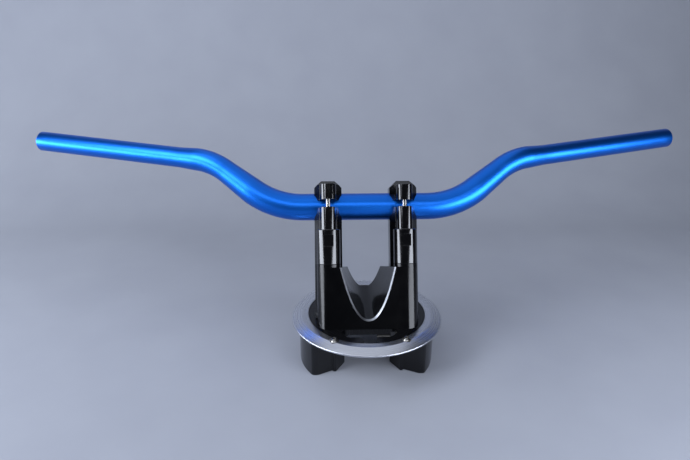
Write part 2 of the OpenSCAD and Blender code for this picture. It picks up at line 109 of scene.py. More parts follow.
def add(
    tree: bpy.types.NodeTree,
    kind: str,
    values: dict[Any, Any] | None = None,
    links: dict[Any, Any] | None = None,
    **settings: Any,
) -> bpy.types.Node:
    """Adds one node with its settings and links.

    Args:
        tree: the tree that gets the node.
        kind: the node's type name.
        values: input name or number to its value.
        links: input name or number to the output socket that feeds it.
        **settings: the node's own properties.

    Returns:
        The new node.
    """
    node = tree.nodes.new(kind)
    for name, value in settings.items():
        setattr(node, name, value)
    for key, value in (values or {}).items():
        node.inputs[key].default_value = value
    for key, socket in (links or {}).items():
        tree.links.new(socket, node.inputs[key])
    return node


def empty_material(name: str) -> tuple[bpy.types.Material, bpy.types.NodeTree]:
    """Makes a material whose node tree is empty.

    Args:
        name: the material's name.

    Returns:
        The material and its tree.
    """
    material = bpy.data.materials.new(name)
    material.use_nodes = True
    material.node_tree.nodes.clear()
    return material, material.node_tree


def leaning(point: Sequence[float]) -> Vector:
    """Takes a point of the posts' leaning frame to the row frame.

    Args:
        point: X, Y and Z in millimetres, Z along the posts from the rim's plane.

    Returns:
        The same place in the row frame, in metres.
    """
    return (Matrix.Rotation(-LEAN, 3, "X") @ Vector(point) + Vector((0, 0, RIM_Z))) * MM


def mesh_object(name: str, mesh: bpy.types.Mesh) -> bpy.types.Object:
    """Links a mesh to the scene as an object at the origin.

    Args:
        name: the object's name.
        mesh: its mesh.

    Returns:
        The new object.
    """
    obj = bpy.data.objects.new(name, mesh)
    bpy.context.scene.collection.objects.link(obj)
    return obj


def shade(mesh: bpy.types.Mesh, angle: float = SMOOTH_ANGLE) -> None:
    """Shades a mesh smooth, apart from edges that are sharper than the angle.

    Args:
        mesh: the mesh.
        angle: the sharpest angle that stays smooth, in radians.
    """
    mesh.shade_smooth()
    mesh.set_sharp_from_angle(angle=angle)


def baked(obj: bpy.types.Object, name: str) -> bpy.types.Object:
    """Turns an object and its modifiers into a plain mesh object, and removes the original.

    Args:
        obj: the object with its modifiers.
        name: the name of the plain object.

    Returns:
        The plain object.
    """
    depsgraph = bpy.context.evaluated_depsgraph_get()
    mesh = bpy.data.meshes.new_from_object(obj.evaluated_get(depsgraph), depsgraph=depsgraph)
    bpy.data.objects.remove(obj)
    mesh.name = name
    return mesh_object(name, mesh)


def lathe(name: str, rings: Sequence[Callable[[float], Point]], count: int) -> bpy.types.Mesh:
    """Joins rings of points into a closed turned shape.

    Args:
        name: the mesh's name.
        rings: for each ring, a function from an angle to a point in millimetres.
        count: how many points a ring has.

    Returns:
        The mesh in metres. Its first and last rings are closed with a fan.
    """
    bm = bmesh.new()
    loops = [
        [bm.verts.new(Vector(ring(math.tau * i / count)) * MM) for i in range(count)]
        for ring in rings
    ]
    for a, b in zip(loops, loops[1:]):
        for i in range(count):
            j = (i + 1) % count
            bm.faces.new((a[i], a[j], b[j], b[i]))
    bm.faces.new(list(reversed(loops[0])))
    bm.faces.new(loops[-1])
    bmesh.ops.remove_doubles(bm, verts=bm.verts, dist=1e-7)
    bmesh.ops.recalc_face_normals(bm, faces=bm.faces)
    mesh = bpy.data.meshes.new(name)
    bm.to_mesh(mesh)
    bm.free()
    shade(mesh)
    return mesh


def circle(radius: float, z: float) -> Callable[[float], Point]:
    """Gives a round ring for lathe.

    Args:
        radius: the ring's radius in millimetres.
        z: its height in millimetres.

    Returns:
        A function from an angle to a point.
    """
    return lambda a: (radius * math.cos(a), radius * math.sin(a), z)


def hexagon(flats: float, z: float) -> Callable[[float], Point]:
    """Gives a six-sided ring for lathe.

    Args:
        flats: the width across the flats in millimetres.
        z: its height in millimetres.

    Returns:
        A function from an angle to a point.
    """

    def at(a: float) -> Point:
        """Gives the hexagon's point at one angle."""
        turn = (a % (math.pi / 3)) - math.pi / 6
        radius = flats / 2 / math.cos(turn)
        return (radius * math.cos(a), radius * math.sin(a), z)

    return at


def finish_piece(
    obj: bpy.types.Object,
    material: bpy.types.Material,
    nodes: Sequence[str],
) -> None:
    """Gives a piece its material, hangs it on the root body and hides the CAD nodes that it stands
    for.

    Args:
        obj: the piece.
        material: its material.
        nodes: the CAD nodes that it replaces.
    """
    obj.data.materials.clear()
    obj.data.materials.append(material)
    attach(obj, ROOT)
    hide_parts(*nodes)
    LOG.info("%s: %d faces", obj.name, len(obj.data.polygons))


def eased_copy(
    node: bpy.types.Object, name: str, width: float
) -> bpy.types.Object:
    """Copies a CAD node and breaks its sharp edges with a small real bevel.

    Args:
        node: the CAD node, which is left as it is.
        name: the copy's name.
        width: the bevel's width in millimetres.

    Returns:
        The copy as a plain mesh object.
    """
    bm = bmesh.new()
    bm.from_mesh(node.data)
    bmesh.ops.remove_doubles(bm, verts=bm.verts, dist=SAME_PLACE)
    bmesh.ops.dissolve_limit(bm, angle_limit=FLAT_ANGLE, verts=bm.verts, edges=bm.edges)
    mesh = bpy.data.meshes.new(name + "_raw")
    bm.to_mesh(mesh)
    bm.free()
    raw = mesh_object(name + "_raw", mesh)
    mesh.shade_smooth()
    bevel = raw.modifiers.new("eased_edges", "BEVEL")
    bevel.width = width * MM
    bevel.segments = 2
    bevel.limit_method = "ANGLE"
    bevel.angle_limit = CREASE
    normals = raw.modifiers.new("flat_faces_stay_flat", "WEIGHTED_NORMAL")
    normals.mode = "FACE_AREA"
    return baked(raw, name)


# ---------------------------------------------------------------- finishes


def object_coords(tree: bpy.types.NodeTree) -> bpy.types.NodeSocket:
    """Adds the coordinates that every pattern uses.

    Args:
        tree: the material's tree.

    Returns:
        The socket with the object's own coordinates in metres.
    """
    return add(tree, "ShaderNodeTexCoord").outputs["Object"]


def noise(
    tree: bpy.types.NodeTree, coords: bpy.types.NodeSocket, size_mm: float, **values: float
) -> bpy.types.NodeSocket:
    """Adds a noise pattern of a real size.

    Args:
        tree: the material's tree.
        coords: the socket with the coordinates.
        size_mm: the pattern's size in millimetres.
        **values: its other inputs by name.

    Returns:
        The socket with the pattern's value.
    """
    inputs = {"Scale": 1 / (size_mm * MM), **values}
    return add(tree, "ShaderNodeTexNoise", inputs, {"Vector": coords}).outputs["Fac"]


def two_tones(
    tree: bpy.types.NodeTree, pattern: bpy.types.NodeSocket, first: str, second: str
) -> bpy.types.NodeSocket:
    """Mixes two colours by a pattern.

    Args:
        tree: the material's tree.
        pattern: the socket with the pattern's value.
        first: the hex colour where the pattern is 0.
        second: the hex colour where the pattern is 1.

    Returns:
        The socket with the colour.
    """
    # Inputs 6 and 7 and output 2 are the node's colour sockets.
    colours = {6: linear(first), 7: linear(second)}
    return add(tree, "ShaderNodeMix", colours, {0: pattern}, data_type="RGBA").outputs[2]


def ranged(
    tree: bpy.types.NodeTree,
    pattern: bpy.types.NodeSocket,
    given: tuple[float, float],
    wanted: tuple[float, float],
) -> bpy.types.NodeSocket:
    """Takes a pattern from one range to another.

    Args:
        tree: the material's tree.
        pattern: the socket with the pattern's value.
        given: the lowest and highest value that comes in.
        wanted: the values that these two become.

    Returns:
        The socket with the new value.
    """
    names = ("From Min", "From Max", "To Min", "To Max")
    inputs = dict(zip(names, (*given, *wanted)))
    return add(tree, "ShaderNodeMapRange", inputs, {"Value": pattern}).outputs["Result"]


def bumped(
    tree: bpy.types.NodeTree, pattern: bpy.types.NodeSocket, strength: float, depth_mm: float
) -> bpy.types.NodeSocket:
    """Turns a pattern into relief.

    Args:
        tree: the material's tree.
        pattern: the socket with the pattern's value.
        strength: how much of the relief shows, 0 to 1.
        depth_mm: the relief's depth in millimetres.

    Returns:
        The socket with the normal.
    """
    inputs = {"Strength": strength, "Distance": depth_mm * MM}
    return add(tree, "ShaderNodeBump", inputs, {"Height": pattern}).outputs["Normal"]


def surface(
    tree: bpy.types.NodeTree, values: dict[str, Any], links: dict[str, bpy.types.NodeSocket]
) -> None:
    """Adds the shader and the material's output.

    Args:
        tree: the material's tree.
        values: the shader's constants by name.
        links: the sockets that feed its other inputs.
    """
    shader = add(tree, "ShaderNodeBsdfPrincipled", values, links)
    add(tree, "ShaderNodeOutputMaterial", links={"Surface": shader.outputs[0]})


@dataclass(frozen=True)
class SatinBlueAnodised:
    """Aluminium that is bead blasted, dyed blue and sealed: a deep colour under a wide sheen."""

    colour: str = "#1271DC"
    deep: str = "#1068D3"
    roughness: float = 0.38
    spread: float = 0.05
    clear_layer: float = 0.2
    clear_roughness: float = 0.3
    grain_mm: float = 0.45
    cloud_mm: float = 30.0
    bump: float = 0.16
    bump_mm: float = 0.05

    def build(self, name: str) -> bpy.types.Material:
        """Builds the material.

        Args:
            name: the material's name.

        Returns:
            The material.
        """
        material, tree = empty_material(name)
        coords = object_coords(tree)
        # Blasting leaves dimples of about 0.1 mm; they are drawn coarser so that they show.
        grain = noise(tree, coords, self.grain_mm, Detail=3.0, Roughness=0.6)
        cloud = noise(tree, coords, self.cloud_mm, Detail=2.0)
        rough = (self.roughness - self.spread, self.roughness + self.spread)
        surface(
            tree,
            {
                "Metallic": 1.0,
                "Coat Weight": self.clear_layer,
                "Coat Roughness": self.clear_roughness,
            },
            {
                "Base Color": two_tones(tree, cloud, self.deep, self.colour),
                "Roughness": ranged(tree, grain, (0.0, 1.0), rough),
                "Normal": bumped(tree, grain, self.bump, self.bump_mm),
            },
        )
        return material


@dataclass(frozen=True)
class BlackAnodised:
    """Milled aluminium in sealed black anodising: a clear, hard oxide over a near black dye."""

    colour: str = "#050506"
    roughness: float = 0.11
    ior: float = 1.6
    mark_mm: float = 0.35
    bump: float = 0.03
    bump_mm: float = 0.02
    stretch: float = 0.06
    smudge_mm: float = 14.0
    polished: float = 0.05
    rubbed: float = 0.06

    def build(self, name: str) -> bpy.types.Material:
        """Builds the material.

        Args:
            name: the material's name.

        Returns:
            The material.
        """
        material, tree = empty_material(name)
        coords = object_coords(tree)
        # Cutter marks run across the posts, so the pattern is stretched along X and Y.
        stretched = add(
            tree,
            "ShaderNodeMapping",
            {"Rotation": (LEAN, 0.0, 0.0), "Scale": (self.stretch, self.stretch, 1.0)},
            {"Vector": coords},
        )
        marks = noise(tree, stretched.outputs[0], self.mark_mm, Detail=4.0, Roughness=0.65)
        smudge = noise(tree, coords, self.smudge_mm, Detail=3.0)
        blend = add(
            tree, "ShaderNodeMath", {1: 0.5}, {0: marks, 2: smudge}, operation="MULTIPLY_ADD"
        )
        rough = (self.roughness - self.polished, self.roughness + self.rubbed)
        surface(
            tree,
            {"Base Color": linear(self.colour), "IOR": self.ior},
            {
                "Roughness": ranged(tree, blend.outputs[0], (0.4, 1.1), rough),
                "Normal": bumped(tree, marks, self.bump, self.bump_mm),
            },
        )
        return material


@dataclass(frozen=True)
class TurnedMetal:
    """Metal faced on a lathe: fine rings about the steering axis draw the light out across them."""

    colour: str
    roughness: float
    ring_mm: float
    bump: float
    metallic: float = 1.0
    ior: float = 1.5
    anisotropic: float = 0.0
    spread: float = 0.05
    bump_mm: float = 0.05

    def build(self, name: str) -> bpy.types.Material:
        """Builds the material.

        Args:
            name: the material's name.

        Returns:
            The material.
        """
        material, tree = empty_material(name)
        flat = add(
            tree,
            "ShaderNodeVectorMath",
            {1: (1.0, 1.0, 0.0)},
            {0: object_coords(tree)},
            operation="MULTIPLY",
        )
        radius = add(
            tree, "ShaderNodeVectorMath", links={0: flat.outputs[0]}, operation="LENGTH"
        )
        # The tool's feed is about 0.2 mm; the rings are drawn coarser so that they show.
        rings = add(
            tree,
            "ShaderNodeTexNoise",
            {"Scale": 1 / (self.ring_mm * MM), "Detail": 3.0, "Roughness": 0.7},
            {"W": radius.outputs["Value"]},
            noise_dimensions="1D",
        ).outputs["Fac"]
        rough = (self.roughness - self.spread, self.roughness + self.spread)
        tangent = add(tree, "ShaderNodeTangent", direction_type="RADIAL", axis="Z")
        surface(
            tree,
            {
                "Base Color": linear(self.colour),
                "Metallic": self.metallic,
                "IOR": self.ior,
                "Anisotropic": self.anisotropic,
            },
            {
                "Roughness": ranged(tree, rings, (0.3, 0.7), rough),
                "Normal": bumped(tree, rings, self.bump, self.bump_mm),
                "Tangent": tangent.outputs[0],
            },
        )
        return material


@dataclass(frozen=True)
class FineMetal:
    """Bare or black-oxide steel, or a fresh cut in aluminium: fine grain, a tight highlight."""

    colour: str
    roughness: float
    spread: float = 0.06
    grain_mm: float = 0.3
    bump: float = 0.06
    bump_mm: float = 0.02

    def build(self, name: str) -> bpy.types.Material:
        """Builds the material.

        Args:
            name: the material's name.

        Returns:
            The material.
        """
        material, tree = empty_material(name)
        grain = noise(tree, object_coords(tree), self.grain_mm, Detail=2.0)
        rough = (self.roughness - self.spread, self.roughness + self.spread)
        surface(
            tree,
            {"Base Color": linear(self.colour), "Metallic": 1.0},
            {
                "Roughness": ranged(tree, grain, (0.0, 1.0), rough),
                "Normal": bumped(tree, grain, self.bump, self.bump_mm),
            },
        )
        return material


@dataclass(frozen=True)
class Paper:
    """Matt studio paper, with a very faint mottle. It is clear from behind."""

    colour: str
    pale: str
    mottle_mm: float = 90.0
    roughness: float = 0.85

    def build(self, name: str) -> bpy.types.Material:
        """Builds the material.

        Args:
            name: the material's name.

        Returns:
            The material.
        """
        material, tree = empty_material(name)
        mottle = noise(tree, object_coords(tree), self.mottle_mm, Detail=4.0)
        paper = add(
            tree,
            "ShaderNodeBsdfPrincipled",
            {"Roughness": self.roughness},
            {"Base Color": two_tones(tree, mottle, self.colour, self.pale)},
        )
        behind = add(tree, "ShaderNodeNewGeometry").outputs["Backfacing"]
        clear = add(tree, "ShaderNodeBsdfTransparent")
        one_sided = add(
            tree,
            "ShaderNodeMixShader",
            links={0: behind, 1: paper.outputs[0], 2: clear.outputs[0]},
        )
        add(tree, "ShaderNodeOutputMaterial", links={"Surface": one_sided.outputs[0]})
        return material


# ---------------------------------------------------------------- sub-assemblies


@dataclass
class Handlebar:
    """The tapered bar: one tube swept along a centre line with two bends on each side."""

    clamp_d: float = 28.6
    mid_d: float = 24.6
    grip_d: float = 22.2
    wall: float = 3.6
    knee: Point = (97.5, 0.0, 0.0)
    elbow: Point = (165.0, 11.0, 52.0)
    tip: Point = (375.0, 75.0, 87.0)
    knee_r: float = 90.0
    elbow_r: float = 75.0
    taper_l: float = 20.0
    end_round: float = 0.7
    sides: int = 96
    bend_steps: int = 18
    round_steps: int = 4
    finish: SatinBlueAnodised = SatinBlueAnodised()

    def stations(self) -> list[tuple[Vector, float]]:
        """Walks the right half of the centre line.

        Returns:
            Points in the bar's own frame in millimetres, each with the bar's radius there.
        """
        knee, elbow, tip = (Vector(p) for p in (self.knee, self.elbow, self.tip))
        u0, u1, u2 = Vector((1, 0, 0)), (elbow - knee).normalized(), (tip - elbow).normalized()
        r_clamp, r_mid, r_grip = (d / 2 for d in (self.clamp_d, self.mid_d, self.grip_d))
        out: list[tuple[Vector, float]] = []

        def straight(a: Vector, b: Vector, ra: float, rb: float, step: float) -> None:
            """Adds points along a straight length, up to but not with its end."""
            count = max(2, round((b - a).length / step))
            for i in range(count):
                t = i / count
                out.append((a.lerp(b, t), ra + (rb - ra) * t))

        def arc(corner: Vector, u: Vector, v: Vector, bend: float, radius: float) -> None:
            """Adds points along a bend."""
            angle = u.angle(v)
            reach = bend * math.tan(angle / 2)
            centre = corner + (v - u).normalized() * (bend / math.cos(angle / 2))
            ex = (corner - u * reach - centre).normalized()
            axis = u.cross(v).normalized()
            for i in range(self.bend_steps):
                spin = Matrix.Rotation(angle * i / self.bend_steps, 3, axis)
                out.append((centre + (spin @ ex) * bend, radius))

        knee_reach = self.knee_r * math.tan(u0.angle(u1) / 2)
        elbow_reach = self.elbow_r * math.tan(u1.angle(u2) / 2)
        straight(Vector(), knee - u0 * knee_reach, r_clamp, r_clamp, step=10)
        arc(knee, u0, u1, self.knee_r, r_clamp)
        straight(knee + u1 * knee_reach, elbow - u1 * elbow_reach, r_clamp, r_mid, step=4)
        arc(elbow, u1, u2, self.elbow_r, r_mid)
        taper_start = elbow + u2 * elbow_reach
        taper_end = taper_start + u2 * self.taper_l
        straight(taper_start, taper_end, r_mid, r_grip, step=2)
        straight(taper_end, tip - u2 * self.end_round, r_grip, r_grip, step=12)
        for i in range(self.round_steps):
            turn = math.pi / 2 * i / (self.round_steps - 1)
            back = self.end_round * (1 - math.sin(turn))
            out.append((tip - u2 * back, r_grip - self.end_round * (1 - math.cos(turn))))
        return out

    def build(self) -> bpy.types.Object:
        """Sweeps the tube, its inner wall and its rounded end faces.

        Returns:
            The bar as a plain mesh object.
        """
        half = self.stations()
        mirrored = [(Vector((-p.x, p.y, p.z)), r) for p, r in reversed(half[1:])]
        path = mirrored + half
        points = [p for p, _ in path]
        tangents = []
        for i in range(len(points)):
            a, b = points[max(i - 1, 0)], points[min(i + 1, len(points) - 1)]
            tangents.append((b - a).normalized())
        n = self.round_steps
        tangents[-n:] = [tangents[-n - 1]] * n
        tangents[:n] = [tangents[n]] * n
        bm = bmesh.new()
        place = Matrix.Rotation(-LEAN, 3, "X")
        offset = place @ Vector((0, 0, BAR_HEIGHT)) + Vector((0, 0, RIM_Z))

        def ring(p: Vector, t: Vector, radius: float) -> list[bmesh.types.BMVert]:
            """Adds one ring of vertices round the centre line."""
            side = t.cross(Vector((0, 1, 0))).normalized()
            up = side.cross(t)
            return [
                bm.verts.new(
                    (place @ (p + (up * math.cos(a) + side * math.sin(a)) * radius) + offset) * MM
                )
                for a in (math.tau * i / self.sides for i in range(self.sides))
            ]

        outer = [ring(p, t, r) for (p, r), t in zip(path, tangents)]
        # The rounds at the ends are outside only: the bore keeps its size under them.
        inner = [
            ring(p, t, max(r, self.grip_d / 2) - self.wall) for (p, r), t in zip(path, tangents)
        ]
        for shell in (outer, inner):
            for a, b in zip(shell, shell[1:]):
                for i in range(self.sides):
                    j = (i + 1) % self.sides
                    bm.faces.new((a[i], a[j], b[j], b[i]))
        for end in (0, -1):
            for i in range(self.sides):
                j = (i + 1) % self.sides
                bm.faces.new((outer[end][i], outer[end][j], inner[end][j], inner[end][i]))
        bmesh.ops.recalc_face_normals(bm, faces=bm.faces)
        mesh = bpy.data.meshes.new("tapered_bar")
        bm.to_mesh(mesh)
        bm.free()
        shade(mesh)
        return mesh_object("tapered_bar", mesh)

    def dress(self) -> None:
        """Builds the bar and gives it its finish."""
        finish = self.finish.build("satin_blue_anodised")
        finish_piece(self.build(), finish, ["handlebar"])


@dataclass
class Milled:
    """The milled black pieces: risers, caps and bridge block, with their sharp edges broken."""

    ease: float = 0.3
    turned: tuple[str, ...] = ("riser_left", "riser_right", "cap_left", "cap_right")
    block: str = "bridge_block"
    turned_finish: BlackAnodised = BlackAnodised()
    block_finish: BlackAnodised = BlackAnodised("#040405", 0.18, 1.35, 0.5, 0.06)
    edge_finish: FineMetal = FineMetal("#85878C", 0.3)
    cut_half: float = 28.7
    cut_bevel: float = 1.4
    bevel_facing: tuple[float, float] = (0.5, 0.86)

    def bright_edge(self, block: bpy.types.Object) -> None:
        """Gives the cut-out's bevel its finish: it is cut after anodising, so it is bare metal.

        Args:
            block: the bridge block, which already has its black finish.
        """
        block.data.materials.append(self.edge_finish.build("bright_cut_edge"))
        front = Vector((0.0, -math.cos(LEAN), math.sin(LEAN)))
        near = [f for f in block.data.polygons if abs(f.center.x) < self.cut_half * MM]
        plane = max(f.center.dot(front) for f in near)
        low, high = self.bevel_facing
        count = 0
        for face in near:
            depth = (plane - face.center.dot(front)) / MM
            faces_bevel = face.normal.z > 0 and low < face.normal.dot(front) < high
            if faces_bevel and depth < self.cut_bevel:
                face.material_index = 1
                count += 1
        LOG.info("bright cut edge: %d faces", count)

    def dress(self, nodes: dict[str, bpy.types.Object]) -> None:
        """Builds the pieces and gives them their finish.

        Args:
            nodes: the CAD nodes by name.
        """
        turned = self.turned_finish.build("gloss_black_anodised")
        for name in self.turned:
            piece = eased_copy(nodes[name], name + "_turned", self.ease)
            finish_piece(piece, turned, [name])
        milled = self.block_finish.build("milled_black_anodised")
        block = eased_copy(nodes[self.block], self.block + "_milled", self.ease)
        finish_piece(block, milled, [self.block])
        self.bright_edge(block)


@dataclass
class Base:
    """The turned deck, the milled feet and the dished trim ring."""

    ring_inner_r: float = 62.0
    ring_band_r: float = 69.0
    ring_r: float = 79.5
    ring_t: float = 2.0
    ring_top: float = 50.5
    rim_top: float = 47.0
    ring_sides: int = 288
    corner_steps: int = 4
    deck_ease: float = 0.25
    foot_ease: float = 0.35
    deck_finish: TurnedMetal = TurnedMetal("#060608", 0.24, 0.9, 0.25, 0.0, 1.4)
    ring_finish: TurnedMetal = TurnedMetal("#CDCFD5", 0.27, 0.4, 0.05, anisotropic=0.4)
    foot_finish: BlackAnodised = BlackAnodised("#060608", 0.12, 1.5, 0.5)

    def ring_profile(self) -> list[tuple[float, float]]:
        """Walks round the ring's section.

        Returns:
            Radius and height in millimetres, with small rounds at its edges.
        """
        corners = [
            (self.ring_inner_r, self.ring_top, 0.3),
            (self.ring_band_r, self.ring_top, 0.6),
            (self.ring_r, self.rim_top, 0.7),
            (self.ring_r, self.rim_top - self.ring_t, 0.6),
            (self.ring_band_r, self.ring_top - self.ring_t, 0.6),
            (self.ring_inner_r, self.ring_top - self.ring_t, 0.2),
        ]
        out: list[tuple[float, float]] = []
        for i, (x, z, r) in enumerate(corners):
            here = Vector((x, z))
            before = Vector(corners[i - 1][:2]) - here
            after = Vector(corners[(i + 1) % len(corners)][:2]) - here
            before.normalize()
            after.normalize()
            half = before.angle(after) / 2
            reach = r / math.tan(half)
            centre = here + (before + after).normalized() * (r / math.sin(half))
            start, end = here + before * reach, here + after * reach
            for k in range(self.corner_steps + 1):
                p = start.lerp(end, k / self.corner_steps) - centre
                out.append(tuple(centre + p.normalized() * r))
        return out

    def build_ring(self) -> bpy.types.Object:
        """Turns the trim ring from its section.

        Returns:
            The ring as a plain mesh object.
        """
        count = self.ring_sides
        profile = self.ring_profile()
        bm = bmesh.new()
        loops = [
            [
                bm.verts.new((r * math.cos(a) * MM, r * math.sin(a) * MM, z * MM))
                for a in (math.tau * i / count for i in range(count))
            ]
            for r, z in profile
        ]
        for k, a in enumerate(loops):
            b = loops[(k + 1) % len(loops)]
            for i in range(count):
                j = (i + 1) % count
                bm.faces.new((a[i], a[j], b[j], b[i]))
        bmesh.ops.recalc_face_normals(bm, faces=bm.faces)
        mesh = bpy.data.meshes.new("dished_ring")
        bm.to_mesh(mesh)
        bm.free()
        shade(mesh)
        return mesh_object("dished_ring", mesh)

    def dress(self, nodes: dict[str, bpy.types.Object]) -> None:
        """Builds the pieces and gives them their finishes.

        Args:
            nodes: the CAD nodes by name.
        """
        ring = self.build_ring()
        finish_piece(ring, self.ring_finish.build("turned_aluminium"), ["trim_ring"])
        deck = eased_copy(nodes["deck_plate"], "turned_deck", self.deck_ease)
        finish_piece(deck, self.deck_finish.build("turned_black_deck"), ["deck_plate"])
        foot_material = self.foot_finish.build("milled_foot")
        for side in Side:
            name = f"foot_{side.name.lower()}"
            foot = eased_copy(nodes[name], name + "_milled", self.foot_ease)
            finish_piece(foot, foot_material, [name])


@dataclass(frozen=True)
class Thread:
    """A screw thread's sizes in millimetres, along the screw's own Z."""

    crest_r: float
    pitch: float
    depth: float
    length: float
    start: float


@dataclass
class Fasteners:
    """Every screw, nut and washer, with threads that are cut as real helices."""

    turned_sides: int = 60
    cap_screw_l: float = 30.0
    cap_seats: tuple[Point, ...] = (
        (-POST_X, -SCREW_Y, 16.0),
        (-POST_X, SCREW_Y, 16.0),
        (POST_X, -SCREW_Y, 15.32),
        (POST_X, SCREW_Y, 17.15),
    )
    ring_screw_r: float = 66.0
    ring_screw_deg: float = 33.0
    ring_band_z: float = 50.5
    stop_tip: Point = (8.0, -40.0, 44.0)
    stop_l: float = 30.0
    nut_ease: float = 0.3
    washer_ease: float = 0.15
    stainless: FineMetal = FineMetal("#8E8C88", 0.24)
    black: FineMetal = FineMetal("#3A3B3E", 0.3)
    # Darker, rougher stainless for the stop screw and its washer: the dark colour is painted shade
    # of the deck's recess.
    painted_shade_stainless: FineMetal = FineMetal("#4A4947", 0.34)

    def thread_tree(self) -> bpy.types.NodeTree:
        """Builds the node tree that winds a thread round a shank and joins it on.

        Returns:
            The tree. Its inputs are the thread's radius, pitch, depth, length and start.
        """
        tree = bpy.data.node_groups.new("wind_thread", "GeometryNodeTree")
        face = tree.interface
        face.new_socket(name="Geometry", in_out="INPUT", socket_type="NodeSocketGeometry")
        for name in ("Crest radius", "Pitch", "Depth", "Length", "Start"):
            face.new_socket(name=name, in_out="INPUT", socket_type="NodeSocketFloat")
        face.new_socket(name="Material", in_out="INPUT", socket_type="NodeSocketMaterial")
        face.new_socket(name="Geometry", in_out="OUTPUT", socket_type="NodeSocketGeometry")
        given = add(tree, "NodeGroupInput").outputs
        turns = add(
            tree,
            "ShaderNodeMath",
            links={0: given["Length"], 1: given["Pitch"]},
            operation="DIVIDE",
        )
        root = add(
            tree,
            "ShaderNodeMath",
            links={0: given["Crest radius"], 1: given["Depth"]},
            operation="SUBTRACT",
        )
        helix = add(
            tree,
            "GeometryNodeCurveSpiral",
            {"Resolution": 28},
            {
                "Rotations": turns.outputs[0],
                "Start Radius": root.outputs[0],
                "End Radius": root.outputs[0],
                "Height": given["Length"],
            },
        )
        # A thread's foot is a little narrower than its pitch, so the root shows between turns.
        half_pitch = add(
            tree, "ShaderNodeMath", {1: 0.46}, {0: given["Pitch"]}, operation="MULTIPLY"
        )
        minus = add(
            tree, "ShaderNodeMath", {1: -1.0}, {0: half_pitch.outputs[0]}, operation="MULTIPLY"
        )
        low = add(tree, "ShaderNodeCombineXYZ", links={"Y": minus.outputs[0]})
        high = add(tree, "ShaderNodeCombineXYZ", links={"Y": half_pitch.outputs[0]})
        crest = add(tree, "ShaderNodeCombineXYZ", links={"X": given["Depth"]})
        section = add(
            tree,
            "GeometryNodeCurvePrimitiveQuadrilateral",
            links={
                "Point 1": low.outputs[0],
                "Point 2": crest.outputs[0],
                "Point 3": crest.outputs[0],
                "Point 4": high.outputs[0],
            },
            mode="POINTS",
        )
        upright = add(
            tree,
            "GeometryNodeSetCurveNormal",
            links={0: helix.outputs[0]},
            mode="Z_UP",
        )
        ridge = add(
            tree,
            "GeometryNodeCurveToMesh",
            {"Fill Caps": True},
            {"Curve": upright.outputs[0], "Profile Curve": section.outputs[0]},
        )
        rise = add(tree, "ShaderNodeCombineXYZ", links={"Z": given["Start"]})
        moved = add(
            tree,
            "GeometryNodeTransform",
            links={"Geometry": ridge.outputs[0], "Translation": rise.outputs[0]},
        )
        joined = add(tree, "GeometryNodeJoinGeometry")
        tree.links.new(moved.outputs[0], joined.inputs[0])
        tree.links.new(given["Geometry"], joined.inputs[0])
        real = add(tree, "GeometryNodeRealizeInstances", links={0: joined.outputs[0]})
        dyed = add(
            tree,
            "GeometryNodeSetMaterial",
            links={"Geometry": real.outputs[0], "Material": given["Material"]},
        )
        add(tree, "NodeGroupOutput", links={0: dyed.outputs[0]})
        return tree

    def place_tree(self) -> bpy.types.NodeTree:
        """Builds the node tree that sets one screw on every seat.

        Returns:
            The tree. Its inputs are the screw, its lean about X and its material.
        """
        tree = bpy.data.node_groups.new("seat_screws", "GeometryNodeTree")
        face = tree.interface
        face.new_socket(name="Seats", in_out="INPUT", socket_type="NodeSocketGeometry")
        face.new_socket(name="Screw", in_out="INPUT", socket_type="NodeSocketObject")
        face.new_socket(name="Lean", in_out="INPUT", socket_type="NodeSocketFloat")
        face.new_socket(name="Material", in_out="INPUT", socket_type="NodeSocketMaterial")
        face.new_socket(name="Geometry", in_out="OUTPUT", socket_type="NodeSocketGeometry")
        given = add(tree, "NodeGroupInput").outputs
        source = add(tree, "GeometryNodeObjectInfo", links={"Object": given["Screw"]})
        turn = add(tree, "ShaderNodeCombineXYZ", links={"X": given["Lean"]})
        placed = add(
            tree,
            "GeometryNodeInstanceOnPoints",
            links={
                "Points": given["Seats"],
                "Instance": source.outputs["Geometry"],
                "Rotation": turn.outputs[0],
            },
        )
        real = add(tree, "GeometryNodeRealizeInstances", links={0: placed.outputs[0]})
        dyed = add(
            tree,
            "GeometryNodeSetMaterial",
            links={"Geometry": real.outputs[0], "Material": given["Material"]},
        )
        add(tree, "NodeGroupOutput", links={0: dyed.outputs[0]})
        return tree

    def with_inputs(
        self, obj: bpy.types.Object, tree: bpy.types.NodeTree, values: dict[str, Any]
    ) -> None:
        """Adds a tree to an object as a modifier and sets its inputs.

        Args:
            obj: the object.
            tree: the node tree.
            values: input name to value.
        """
        modifier = obj.modifiers.new(tree.name, "NODES")
        modifier.node_group = tree
        for item in tree.interface.items_tree:
            if item.in_out == "INPUT" and item.name in values:
                modifier[item.identifier] = values[item.name]

    def threaded(
        self,
        mesh: bpy.types.Mesh,
        thread: bpy.types.NodeTree,
        material: bpy.types.Material,
        sizes: Thread,
    ) -> bpy.types.Object:
        """Winds a thread on a turned screw.

        Args:
            mesh: the screw, about Z.
            thread: the tree from thread_tree.
            material: the screw's material.
            sizes: the thread's sizes.

        Returns:
            The screw as a plain mesh object at the origin.
        """
        raw = mesh_object(mesh.name + "_raw", mesh)
        names = ("Crest radius", "Pitch", "Depth", "Length", "Start")
        values: dict[str, Any] = {n: v * MM for n, v in zip(names, astuple(sizes))}
        values["Material"] = material
        self.with_inputs(raw, thread, values)
        return baked(raw, mesh.name)

